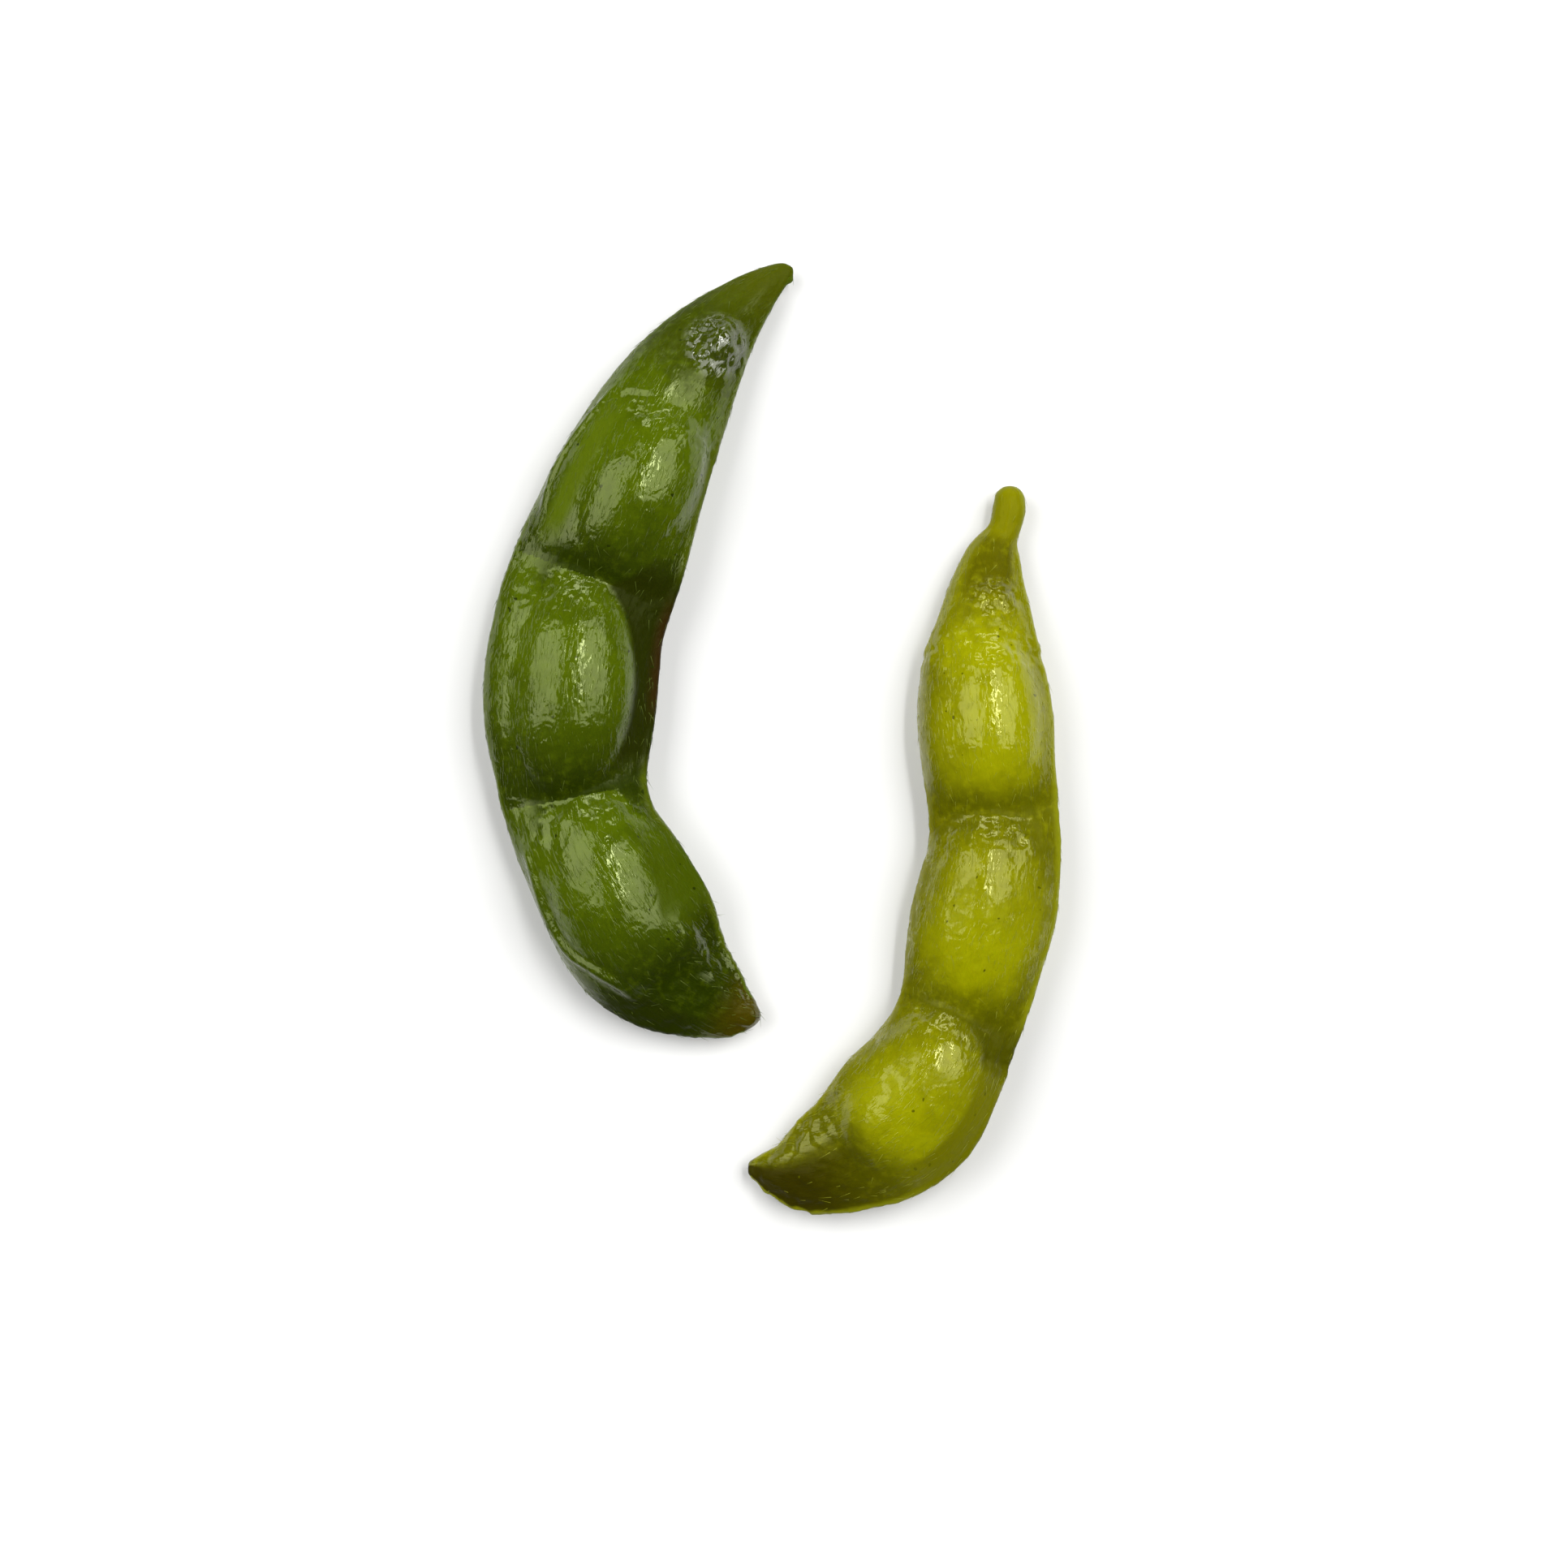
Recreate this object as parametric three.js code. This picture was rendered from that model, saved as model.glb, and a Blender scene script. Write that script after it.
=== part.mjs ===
// A bundle of two loose edamame pods: young soybeans boiled in the shell, one dark green and one yellow-green.
// Each pod is one closed solid, as it grew: a flat husk of two valves that meet in a rounded seam down each long
// edge, blown up by three beans, with its stalk end at one tip and its beak at the other.
// The pods lie side by side on the plane z = 0, each on the three low points under its beans.
// Millimetres, +Z up. The origin is under the middle of the pair's box.

import * as THREE from "three";
import { mergeVertices } from "three/addons/utils/BufferGeometryUtils.js";

// ---- Driving dimensions --------------------------------------------------------------------------------------

const SECTIONS = 84; // cross sections along a pod
const SECTION_POINTS = 52; // points round each cross section, an even number
const END_CROWDING = 0.65; // how far the sections crowd towards the two tips, 0 to 1
const SEAM_RADIUS = 0.6; // the rounded cord where the two valves join
const SEAM_BLEND = 0.25; // fillet between the seam cord and the valve
const LEFT_FLATNESS = 0.65; // how far the husk thins towards its left edge, from 0.5, an ellipse
const RIGHT_FLATNESS = 0.95; // and towards its right edge, 1 being a parabola
const FLOOR = 0; // the undersides of the beans are pressed flat here

// The husk's course, from the stalk end to the beak. Each row is one station:
// [x, y, z of its middle, half width, half thickness between the beans, roll in degrees that lifts the +u seam].
const DARK_POD = {
  name: "dark_green_pod",
  colour: "#55690c",
  roughness: 0.32,
  ends: [0.5, 1.3], // length of the rounding at the stalk end and at the beak
  beanBlend: 0.9, // fillet where the skin leaves a bean
  stations: [
    [1.5, 38.1, 1.7, 0.5, 0.5, 0],
    [0.6, 37.75, 1.75, 1.15, 0.8, 0],
    [-1.8, 35.85, 2.1, 2.1, 1.3, -1],
    [-4.8, 32.6, 2.9, 3.5, 2.2, -3],
    [-7.4, 28.8, 3.7, 4.7, 2.9, -4],
    [-9.6, 24.7, 4.15, 5.55, 3.2, -3],
    [-11.5, 20.6, 4.35, 6.15, 3.0, 0],
    [-13.0, 16.6, 4.35, 6.65, 2.6, 2],
    [-14.3, 13.2, 4.4, 6.85, 1.9, 0],
    [-15.5, 9.4, 4.45, 6.85, 2.4, -4],
    [-16.1, 5.3, 4.45, 7.05, 2.5, -6],
    [-16.3, 1.3, 4.45, 6.85, 2.5, -6],
    [-16.15, -2.6, 4.4, 6.15, 2.1, -3],
    [-15.85, -4.6, 4.4, 5.95, 1.8, 0],
    [-14.95, -7.6, 4.4, 5.9, 2.3, 3],
    [-12.9, -11.4, 4.35, 6.4, 2.7, 6],
    [-11.05, -14.75, 4.35, 6.55, 2.5, 5],
    [-9.4, -17.1, 4.1, 6.15, 2.2, 3],
    [-7.6, -18.95, 3.6, 5.2, 1.9, 0],
    [-5.6, -20.4, 3.0, 4.0, 1.7, -2],
    [-3.5, -21.5, 2.5, 2.8, 1.4, -3],
    [-2.1, -22.0, 2.2, 1.9, 1.2, -3],
    [-1.1, -22.35, 2.0, 1.3, 1.0, -3],
  ],
  beans: [
    // from and to are the bean's two ends in plan; rise is its half thickness, skin included;
    // draw is the share of the rise that the husk is drawn up to on both sides of the bean
    { from: [-7.2, 27.4], to: [-15.1, 12.3], halfWidth: 5.0, rise: 4.6, draw: 0.84 },
    { from: [-15.4, 14.2], to: [-17.0, -5.5], halfWidth: 5.4, rise: 4.7, draw: 0.7 },
    { from: [-15.9, -3.5], to: [-9.9, -20.8], halfWidth: 5.3, rise: 4.6, draw: 0.9 },
    // a seed that never grew, under the stalk
    { from: [-3.0, 34.0], to: [-6.0, 29.2], halfWidth: 2.1, rise: 2.7, draw: 0.5 },
  ],
  folds: [
    // lines on which the upper valve is pinched up: its two ends in plan, its half width and its rise
    { from: [-13.0, 27.8], to: [-18.4, 17.4], halfWidth: 0.9, rise: 0.25 },
    { from: [-19.4, -8.2], to: [-16.0, -17.2], halfWidth: 1.0, rise: 0.35 },
    { from: [-17.4, -15.4], to: [-10.2, -20.9], halfWidth: 1.1, rise: 0.45 },
    { from: [-7.0, -12.8], to: [-3.4, -21.0], halfWidth: 1.3, rise: 0.4 },
  ],
};

const LIGHT_POD = {
  name: "light_green_pod",
  colour: "#929300",
  roughness: 0.3,
  ends: [1.7, 1.0],
  beanBlend: 1.2,
  stations: [
    [19.15, 20.7, 2.2, 1.1, 1.1, 0],
    [19.0, 18.8, 2.2, 1.38, 1.3, 0],
    [18.55, 16.8, 2.3, 1.4, 1.25, 0],
    [17.8, 15.0, 2.5, 2.25, 1.6, 0],
    [17.3, 12.4, 2.95, 3.1, 2.0, 1],
    [17.1, 9.5, 3.6, 3.95, 2.5, 2],
    [16.85, 5.9, 4.1, 5.0, 2.8, 4],
    [17.0, 2.0, 4.2, 5.5, 2.8, 5],
    [17.3, -1.9, 4.2, 5.4, 2.7, 5],
    [17.7, -5.8, 4.3, 5.25, 1.9, 5],
    [17.7, -9.2, 4.5, 5.4, 2.6, 5],
    [17.1, -12.9, 4.3, 5.8, 2.8, 5],
    [16.3, -16.5, 4.1, 5.7, 2.8, 5],
    [15.6, -20.0, 4.0, 5.3, 2.6, 5],
    [14.5, -23.3, 4.3, 5.15, 1.9, 5],
    [12.9, -26.5, 4.4, 5.65, 2.6, 5],
    [11.0, -29.3, 4.2, 6.2, 2.7, 4],
    [8.4, -31.7, 3.9, 5.8, 2.4, 3],
    [5.5, -33.4, 3.4, 4.75, 2.1, 3],
    [2.3, -34.6, 2.8, 3.6, 1.7, 2],
    [-0.3, -34.7, 2.3, 1.85, 1.4, 0],
    [-1.8, -34.45, 2.0, 0.8, 0.9, 0],
  ],
  beans: [
    { from: [17.0, 9.3], to: [17.6, -6.9], halfWidth: 4.5, rise: 4.4, draw: 0.94 },
    { from: [17.8, -4.9], to: [15.0, -23.4], halfWidth: 4.6, rise: 4.4, draw: 0.9 },
    { from: [16.0, -21.6], to: [6.4, -34.8], halfWidth: 5.0, rise: 4.4, draw: 0.9 },
  ],
  folds: [],
};

// ---- The shape of a cross section ----------------------------------------------------------------------------

// The larger of two heights, with a fillet of about the given size where they cross.
function blendedMax(a, b, fillet) {
  if (fillet <= 0) return Math.max(a, b);
  const near = Math.max(fillet - Math.abs(a - b), 0) / fillet;
  return Math.max(a, b) + (near * near * fillet) / 4;
}

// Height of the valve above the husk's middle, at a distance in from its seam.
function valveHeight(fromSeam, halfWidth, halfThickness, edgeFlatness) {
  const wide = THREE.MathUtils.clamp(2 - (2 * halfThickness) / halfWidth, 0, 1);
  const power = 0.5 + (edgeFlatness - 0.5) * wide; // an ellipse at the stalk, thinner edges where it is wide
  const inward = THREE.MathUtils.clamp(fromSeam / halfWidth, 0, 1);
  const valve = halfThickness * Math.pow(inward * (2 - inward), power);
  const radius = Math.min(SEAM_RADIUS, halfThickness);
  const acrossCord = THREE.MathUtils.clamp(fromSeam / radius - 1, -1, 1);
  const cord = radius * Math.sqrt(1 - acrossCord * acrossCord);
  return blendedMax(valve, cord, SEAM_BLEND) - SEAM_BLEND / 4;
}

// Where a point in plan lies on a bean or fold: 0 at its middle, 1 or -1 at its ends and at its sides.
function placeOn(form, x, y) {
  const [x0, y0] = form.from;
  const [x1, y1] = form.to;
  const length = Math.hypot(x1 - x0, y1 - y0);
  const [alongX, alongY] = [(x1 - x0) / length, (y1 - y0) / length];
  const [dx, dy] = [x - (x0 + x1) / 2, y - (y0 + y1) / 2];
  return [(dx * alongX + dy * alongY) / (length / 2), (dx * alongY - dy * alongX) / form.halfWidth];
}

// Height of a bean above the husk's middle at a point in plan: half an ellipsoid that sinks below 0 outside it.
function beanHeight(bean, x, y) {
  const [along, across] = placeOn(bean, x, y);
  const inside = 1 - along * along - across * across;
  return inside > 0 ? bean.rise * Math.sqrt(inside) : bean.rise * inside;
}

// Half thickness of the husk at a point on its middle line, where it is drawn over a bean.
function drawnOver(bean, x, y) {
  const [along] = placeOn(bean, x, y);
  return bean.draw * bean.rise * Math.sqrt(Math.max(1 - along * along, 0));
}

// Height that a fold adds to the upper valve at a point in plan.
function foldHeight(fold, x, y) {
  const [along, across] = placeOn(fold, x, y);
  const inside = Math.max(1 - along * along, 0) * Math.max(1 - across * across, 0);
  return fold.rise * inside;
}

// How much of the full section is left near a tip, where the husk closes in a quarter ellipse.
function tipShare(distance, rounding) {
  const open = THREE.MathUtils.clamp(distance / rounding, 0, 1);
  return Math.sqrt(open * (2 - open));
}

// ---- A pod ---------------------------------------------------------------------------------------------------

// A sphere's rows of latitude become the pod's cross sections, so its two poles close the tips.
function podGeometry(pod) {
  const course = new THREE.CatmullRomCurve3(
    pod.stations.map(([x, y, z]) => new THREE.Vector3(x, y, z)),
    false,
    "catmullrom",
  );
  const sizes = new THREE.CatmullRomCurve3(
    pod.stations.map(([, , , width, thickness, roll]) => new THREE.Vector3(width, thickness, roll)),
    false,
    "catmullrom",
  );
  const courseLength = course.getLength();

  const geometry = new THREE.SphereGeometry(1, SECTION_POINTS, SECTIONS);
  const position = geometry.getAttribute("position");
  const uv = geometry.getAttribute("uv");
  for (let i = 0; i < position.count; i++) {
    const row = 1 - uv.getY(i);
    const t = row - (END_CROWDING * Math.sin(2 * Math.PI * row)) / (2 * Math.PI);
    const middle = course.getPoint(t);
    const forward = course.getTangent(t).setZ(0).normalize();
    const [fullWidth, fullThickness, rollDegrees] = sizes.getPoint(t).toArray();
    const share =
      tipShare(t * courseLength, pod.ends[0]) * tipShare((1 - t) * courseLength, pod.ends[1]);

    const roll = THREE.MathUtils.degToRad(rollDegrees);
    const level = new THREE.Vector3(-forward.y, forward.x, 0);
    const up = new THREE.Vector3(0, 0, 1);
    const towardsSeam = level.clone().multiplyScalar(Math.cos(roll)).addScaledVector(up, Math.sin(roll));
    const outOfValve = up.clone().multiplyScalar(Math.cos(roll)).addScaledVector(level, -Math.sin(roll));

    const step = Math.round(uv.getX(i) * SECTION_POINTS) % SECTION_POINTS;
    const angle = (2 * Math.PI * step) / SECTION_POINTS;
    const onSeam = step % (SECTION_POINTS / 2) === 0;
    const side = onSeam ? 0 : -Math.sign(Math.sin(angle));
    const across = fullWidth * Math.cos(angle);
    const flat = middle.clone().addScaledVector(towardsSeam, across * share);
    const draws = pod.beans.map((bean) => drawnOver(bean, middle.x, middle.y));
    const swollen = Math.max(fullThickness, ...draws);
    const edgeFlatness = across > 0 ? RIGHT_FLATNESS : LEFT_FLATNESS;
    let height = valveHeight(fullWidth - Math.abs(across), fullWidth, swollen, edgeFlatness);
    for (const bean of pod.beans) {
      const raised = beanHeight(bean, flat.x, flat.y);
      height = blendedMax(height, raised, Math.min(pod.beanBlend, 2 * height));
    }
    if (side > 0) {
      for (const fold of pod.folds) height += foldHeight(fold, flat.x, flat.y);
    }
    const point = flat.addScaledVector(outOfValve, side * height * share);
    position.setXYZ(i, point.x, point.y, Math.max(point.z, FLOOR));
  }
  geometry.deleteAttribute("normal");
  geometry.deleteAttribute("uv");
  return mergeVertices(geometry, 1e-4);
}

// ---- The pair ------------------------------------------------------------------------------------------------

const bundle = new THREE.Group();
for (const pod of [DARK_POD, LIGHT_POD]) {
  const skin = new THREE.MeshStandardMaterial({
    color: pod.colour,
    roughness: pod.roughness,
    metalness: 0,
  });
  const mesh = new THREE.Mesh(podGeometry(pod), skin);
  mesh.name = pod.name;
  bundle.add(mesh);
}

const box = new THREE.Box3().setFromObject(bundle);
const centre = box.getCenter(new THREE.Vector3());
bundle.position.set(-centre.x, -centre.y, 0);

export default bundle;
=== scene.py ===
import math
import random
from types import SimpleNamespace

import bpy
import numpy as np
from mathutils import Matrix, Vector


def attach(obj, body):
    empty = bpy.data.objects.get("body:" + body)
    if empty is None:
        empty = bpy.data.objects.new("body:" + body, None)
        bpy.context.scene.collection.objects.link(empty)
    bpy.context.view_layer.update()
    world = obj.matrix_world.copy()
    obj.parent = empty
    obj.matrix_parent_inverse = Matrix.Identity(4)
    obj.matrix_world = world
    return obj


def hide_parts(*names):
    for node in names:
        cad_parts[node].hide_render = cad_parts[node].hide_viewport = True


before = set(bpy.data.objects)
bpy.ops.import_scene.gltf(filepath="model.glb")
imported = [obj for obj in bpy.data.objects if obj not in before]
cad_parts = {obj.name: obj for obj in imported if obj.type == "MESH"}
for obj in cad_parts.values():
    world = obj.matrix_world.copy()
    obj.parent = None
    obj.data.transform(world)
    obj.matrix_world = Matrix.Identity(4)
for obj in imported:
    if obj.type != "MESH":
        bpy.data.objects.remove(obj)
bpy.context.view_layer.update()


# ---- The camera --------------------------------------------------------------------------------
# The pods lie on a table and are looked at from straight above, from about 30 cm over them.

POD_MIDDLE = 0.0045  # height of the pods' middles over the table
VIEW_WIDTH = 0.1256  # what the square view takes in at that height
VIEW_CENTRE = (0.00096, -0.0038)
LENS = 85.0
SENSOR = 36.0
NEAREST_SEEN = 0.01

bpy.ops.object.select_all(action="DESELECT")
view_height = POD_MIDDLE + VIEW_WIDTH * LENS / SENSOR
bpy.ops.object.camera_add(location=(*VIEW_CENTRE, view_height), rotation=(0, 0, 0))
camera = bpy.context.object
camera.name = "overhead_camera"
camera.data.lens = LENS
camera.data.sensor_width = SENSOR
camera.data.clip_start = NEAREST_SEEN
bpy.context.scene.camera = camera


# ---- The table and the studio light ------------------------------------------------------------
# A plain white table top. Its edge lies far behind the pods and shows only from very low down. Two
# long soft panels hang over it, one on each side of the camera, with a narrow bright strip between
# them and a low panel behind, and a dim pale room surrounds them all.

TABLE_SIZE = 12.0
TABLE_WHITE = (0.84, 0.84, 0.83, 1)
TABLE_ROUGHNESS = 0.7
TABLE_SHINE = 0.2
WHITE = (1, 1, 1, 1)
ROOM_GLOW = 0.06  # how brightly the room lights the pods
ROOM_SEEN = 0.85  # how bright the room itself looks past the table
PANEL_DISTANCE = 1.2
PANELS = {
    # the degrees that each panel leans to the right and back from straight above, its width and
    # length in metres, and its brightness
    "left_panel": (-38, 12, 1.05, 1.0, 3.5),
    "right_panel": (36, 12, 0.95, 1.0, 3.8),
    "right_panel_edge": (14, 14, 0.08, 0.7, 23),
    "back_panel": (8, 66, 0.9, 0.22, 7),
}

bpy.ops.mesh.primitive_plane_add(size=TABLE_SIZE, location=(0, 0, 0))
table = bpy.context.object
table.name = "table_top"
table_white = bpy.data.materials.new("table_white")
table_white.use_nodes = True
table_paint = table_white.node_tree.nodes["Principled BSDF"]
table_paint.inputs["Base Color"].default_value = TABLE_WHITE
table_paint.inputs["Roughness"].default_value = TABLE_ROUGHNESS
table_paint.inputs["Specular IOR Level"].default_value = TABLE_SHINE
table.data.materials.append(table_white)

room = bpy.data.worlds.new("pale_room")
room.use_nodes = True
bpy.context.scene.world = room
room_nodes = room.node_tree.nodes
room_links = room.node_tree.links
room_glow = room_nodes["Background"]
room_glow.inputs["Color"].default_value = WHITE
room_glow.inputs["Strength"].default_value = ROOM_GLOW
room_seen = room_nodes.new("ShaderNodeBackground")
room_seen.inputs["Color"].default_value = WHITE
room_seen.inputs["Strength"].default_value = ROOM_SEEN
room_path = room_nodes.new("ShaderNodeLightPath")
room_mix = room_nodes.new("ShaderNodeMixShader")
room_links.new(room_path.outputs["Is Camera Ray"], room_mix.inputs["Fac"])
room_links.new(room_glow.outputs["Background"], room_mix.inputs[1])
room_links.new(room_seen.outputs["Background"], room_mix.inputs[2])
room_links.new(room_mix.outputs["Shader"], room_nodes["World Output"].inputs["Surface"])

bpy.context.scene.view_settings.view_transform = "Standard"


def hang_panel(name, lean_right, lean_back, width, length, brightness):
    """Hangs a soft panel that faces the pods."""
    right = math.tan(math.radians(lean_right))
    back = math.tan(math.radians(lean_back))
    outward = Vector((right, back, 1)).normalized()
    length_way = (Vector((0, 1, 0)) - outward * outward.y).normalized()
    width_way = length_way.cross(outward)
    turn = Matrix((width_way, length_way, outward)).transposed().to_euler()
    bpy.ops.object.light_add(type="AREA", location=outward * PANEL_DISTANCE, rotation=turn)
    panel = bpy.context.object
    panel.name = name
    panel.data.shape = "RECTANGLE"
    panel.data.size = width
    panel.data.size_y = length
    panel.data.energy = brightness * math.pi * width * length


for panel_name, panel_row in PANELS.items():
    hang_panel(panel_name, *panel_row)


# ---- The dark green pod: its form --------------------------------------------------------------
# A boiled soybean pod: a flat husk of two valves, joined along each edge by a stringy seam, drawn
# tight over three beans and a seed that never grew. It is melted into one skin from a lofted husk,
# beans, seam cords and folds, and rippled, most of all where it has crumpled over the beans.

MM = 0.001

DARK_COURSE = [
    # the husk's course from the stalk to the beak, in mm and degrees:
    # x, y and z of its middle, half width, half thickness, roll that lifts the right-hand seam
    (1.3, 38.0, 1.7, 0.5, 0.5, 0),
    (0.5, 37.7, 1.75, 1.05, 0.8, 0),
    (-1.8, 35.85, 2.1, 2.05, 1.3, -1),
    (-4.8, 32.6, 2.9, 3.45, 2.2, -3),
    (-7.4, 28.8, 3.7, 4.7, 2.9, -4),
    (-9.6, 24.7, 4.15, 5.55, 3.2, -3),
    (-11.5, 20.6, 4.35, 6.15, 3.0, 0),
    (-13.0, 16.6, 4.35, 6.65, 2.6, 2),
    (-14.3, 13.2, 4.4, 6.85, 1.9, 0),
    (-15.5, 9.4, 4.45, 6.85, 2.4, -4),
    (-16.1, 5.3, 4.45, 7.05, 2.5, -6),
    (-16.3, 1.3, 4.45, 6.85, 2.5, -6),
    (-16.15, -2.6, 4.4, 6.15, 2.1, -3),
    (-15.85, -4.6, 4.4, 5.95, 1.8, 0),
    (-14.95, -7.6, 4.4, 5.9, 2.3, 3),
    (-12.9, -11.4, 4.35, 6.4, 2.7, 6),
    (-11.05, -14.75, 4.35, 6.55, 2.5, 5),
    (-9.4, -17.1, 4.1, 6.15, 2.2, 3),
    (-7.6, -18.95, 3.6, 5.15, 1.9, 0),
    (-5.6, -20.35, 3.0, 3.9, 1.7, -2),
    (-3.6, -21.55, 2.5, 2.7, 1.4, -3),
    (-2.15, -22.0, 2.2, 1.5, 1.0, -3),
]
DARK_BEANS = [
    # the two ends of each bean in plan, its half width, its half thickness, the height of its
    # middle, the degrees that its stalk end is tipped up, and the share of its thickness that the
    # husk is drawn up to on both sides; the last one is the seed that never grew
    ((-7.2, 27.4), (-15.1, 12.3), 5.0, 4.6, 4.4, 3, 0.84),
    ((-15.4, 14.2), (-17.0, -5.5), 5.4, 4.7, 4.45, 0, 0.7),
    ((-15.9, -3.5), (-9.9, -20.8), 5.3, 4.6, 4.35, 2, 0.9),
    ((-3.0, 34.0), (-6.0, 29.2), 2.1, 2.7, 3.1, -8, 0.5),
]
LOWER_LEFT_FOLD = [
    (-19.4, -9.0),
    (-18.15, -13.2),
    (-16.5, -16.4),
    (-14.4, -18.0),
    (-12.3, -19.3),
    (-10.5, -20.6),
]
BEAK_FOLD = [(-8.6, -14.4), (-7.4, -16.9), (-6.0, -19.0), (-4.4, -20.9)]
UPPER_LEFT_FOLD = [(-12.6, 28.0), (-15.5, 24.6), (-17.5, 21.2), (-18.5, 17.2)]
DARK_FOLDS = [
    # each fold's route in plan, the radius of the cord under it, and how deep that cord is sunk
    (LOWER_LEFT_FOLD, 0.6, 0.2),
    (BEAK_FOLD, 2.2, 1.85),
    (UPPER_LEFT_FOLD, 0.4, 0.2),
]
# the routes of the stalk and of the beak's blunt end: x, y, z and radius
DARK_STALK = [(-1.1, 36.8, 1.95, 1.1), (0.2, 37.75, 1.7, 0.9), (1.25, 37.4, 1.6, 0.45)]
DARK_BEAK = [(-4.3, -21.1, 2.6, 1.2), (-2.9, -21.9, 2.3, 1.35), (-2.2, -22.1, 2.2, 1.25)]
BUNDLE_SHIFT = (0.072, -0.344)  # brings the pair's middle over the origin

HUSK_POINTS = 40
CORD_POINTS = 12
BALL_POINTS = 16
BEAN_POINTS = 64
STATIONS_BETWEEN = 3
LEFT_SHARPNESS = 1.3
RIGHT_SHARPNESS = 1.9
SEAM_RADIUS = 0.55
SEAM_SHARE = 0.8  # the share of a narrow husk's half width that its seam takes up at most
OVER_THE_PODS = 50  # the height from which the folds are dropped on the body
FOLD_TAPER = 4  # a fold runs out over one part in that many of its length, at each end
COARSE_MELT = (0.28, 20)  # the size of the voxels and the rounds of relaxing
FINE_MELT = (0.174, 6)

FAR_AWAY = 1e9
FAR_OFF_A_BEAN = -9.0
FURTHEST_DOWN = 1.5  # past a bean's ends, which lie at -1 and 1, the place down it stops there
SKIN_SPREAD = 2.0  # the skin over a bean is that much wider than the bean
SHORTEST_BEAN = 10  # what is shorter is the seed that never grew
CREASE_RISE = 0.45  # how far up the beans the creases between them reach
CREASES_FROM = 0.25  # where along the pod the smooth neck ends
CRUMPLED_AT = -0.72  # where down a bean its skin is crumpled most, from -1 at its stalk end
CRUMPLED_REACH = 0.25
BEAK_FROM = 0.86  # where along the pod the beak's skin starts to crumple
BEAK_STEEPNESS = 14
BEAK_CRUMPLE = 0.6

ALL_OVER_RIPPLE = (2.6, 0.11)  # the size and the height of the ripples
CREASE_RIPPLE = (0.9, 0.12)
CRUMPLE_SIZE = 1.0
KNOB_FOLDS = (1.2, 0.55)
KNOB_WRINKLES = (0.6, 0.15)


def lens_outline():
    """One cross section of the husk: a circle pressed flat towards its edges, most at the right."""
    bpy.ops.object.select_all(action="DESELECT")
    bpy.ops.mesh.primitive_circle_add(vertices=HUSK_POINTS, radius=1)
    outline = bpy.context.object
    for point in outline.data.vertices:
        rise = abs(point.co.y)
        sharpness = RIGHT_SHARPNESS if point.co.x > 0 else LEFT_SHARPNESS
        point.co.y = math.copysign(rise**sharpness, point.co.y)
    return outline


def round_outline():
    """One cross section of a cord or a stalk."""
    bpy.ops.object.select_all(action="DESELECT")
    bpy.ops.mesh.primitive_circle_add(vertices=CORD_POINTS, radius=1)
    return bpy.context.object


def fill_in(course):
    """The course with more stations between its own, on a smooth curve through them."""
    rows = np.array([course[0], *course, course[-1]], dtype=float)
    filled = []
    for before, start, end, after in zip(rows, rows[1:], rows[2:], rows[3:]):
        for step in np.arange(STATIONS_BETWEEN) / STATIONS_BETWEEN:
            bend = (2 * before - 5 * start + 4 * end - after) * step
            bend += (3 * (start - end) + after - before) * step**2
            filled.append(tuple(start + (end - before + bend) * step / 2))
    return [*filled, course[-1]]


def section_frame(course, number, roll=0.0):
    """A section's middle, and its directions towards the right-hand seam, upward and forward."""
    before = Vector(course[max(number - 1, 0)][:3])
    after = Vector(course[min(number + 1, len(course) - 1)][:3])
    forward = Vector((after.x - before.x, after.y - before.y, 0)).normalized()
    level = Vector((-forward.y, forward.x, 0))
    upright = Vector((0, 0, 1))
    across = level * math.cos(roll) + upright * math.sin(roll)
    outward = upright * math.cos(roll) - level * math.sin(roll)
    return Vector(course[number][:3]), across, outward, forward


def placed(middle, across, outward, forward, half_width, half_height):
    """The matrix that puts a unit outline at a section, in metres."""
    turn = Matrix((across * half_width, outward * half_height, forward)).transposed().to_4x4()
    return Matrix.Translation(middle * MM) @ Matrix.Diagonal((MM, MM, MM, 1)) @ turn


def loft(name, outline, places):
    """Copies the outline to each place, bridges the rings one by one and closes both ends."""
    bpy.ops.object.select_all(action="DESELECT")
    for place in places:
        ring = outline.copy()
        ring.data = outline.data.copy()
        bpy.context.collection.objects.link(ring)
        ring.data.transform(place)
        ring.select_set(True)
    bpy.context.view_layer.objects.active = ring
    bpy.ops.object.join()
    lofted = bpy.context.object
    lofted.name = name
    bpy.ops.object.mode_set(mode="EDIT")
    bpy.ops.mesh.select_all(action="SELECT")
    bpy.ops.mesh.bridge_edge_loops()
    bpy.ops.mesh.select_all(action="SELECT")
    bpy.ops.mesh.fill_holes(sides=0)
    bpy.ops.mesh.normals_make_consistent(inside=False)
    bpy.ops.object.mode_set(mode="OBJECT")
    bpy.data.objects.remove(outline)
    return lofted


def drawn_over(bean, x, y):
    """How thick the husk is at its middle line where it is drawn over a bean."""
    start, end, _, half_thickness, _, _, draw = bean
    length = math.dist(start, end)
    forward = ((end[0] - start[0]) / length, (end[1] - start[1]) / length)
    offset = (x - (start[0] + end[0]) / 2, y - (start[1] + end[1]) / 2)
    lengthways = (offset[0] * forward[0] + offset[1] * forward[1]) / (length / 2)
    return draw * half_thickness * math.sqrt(max(1 - lengthways**2, 0))


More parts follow.
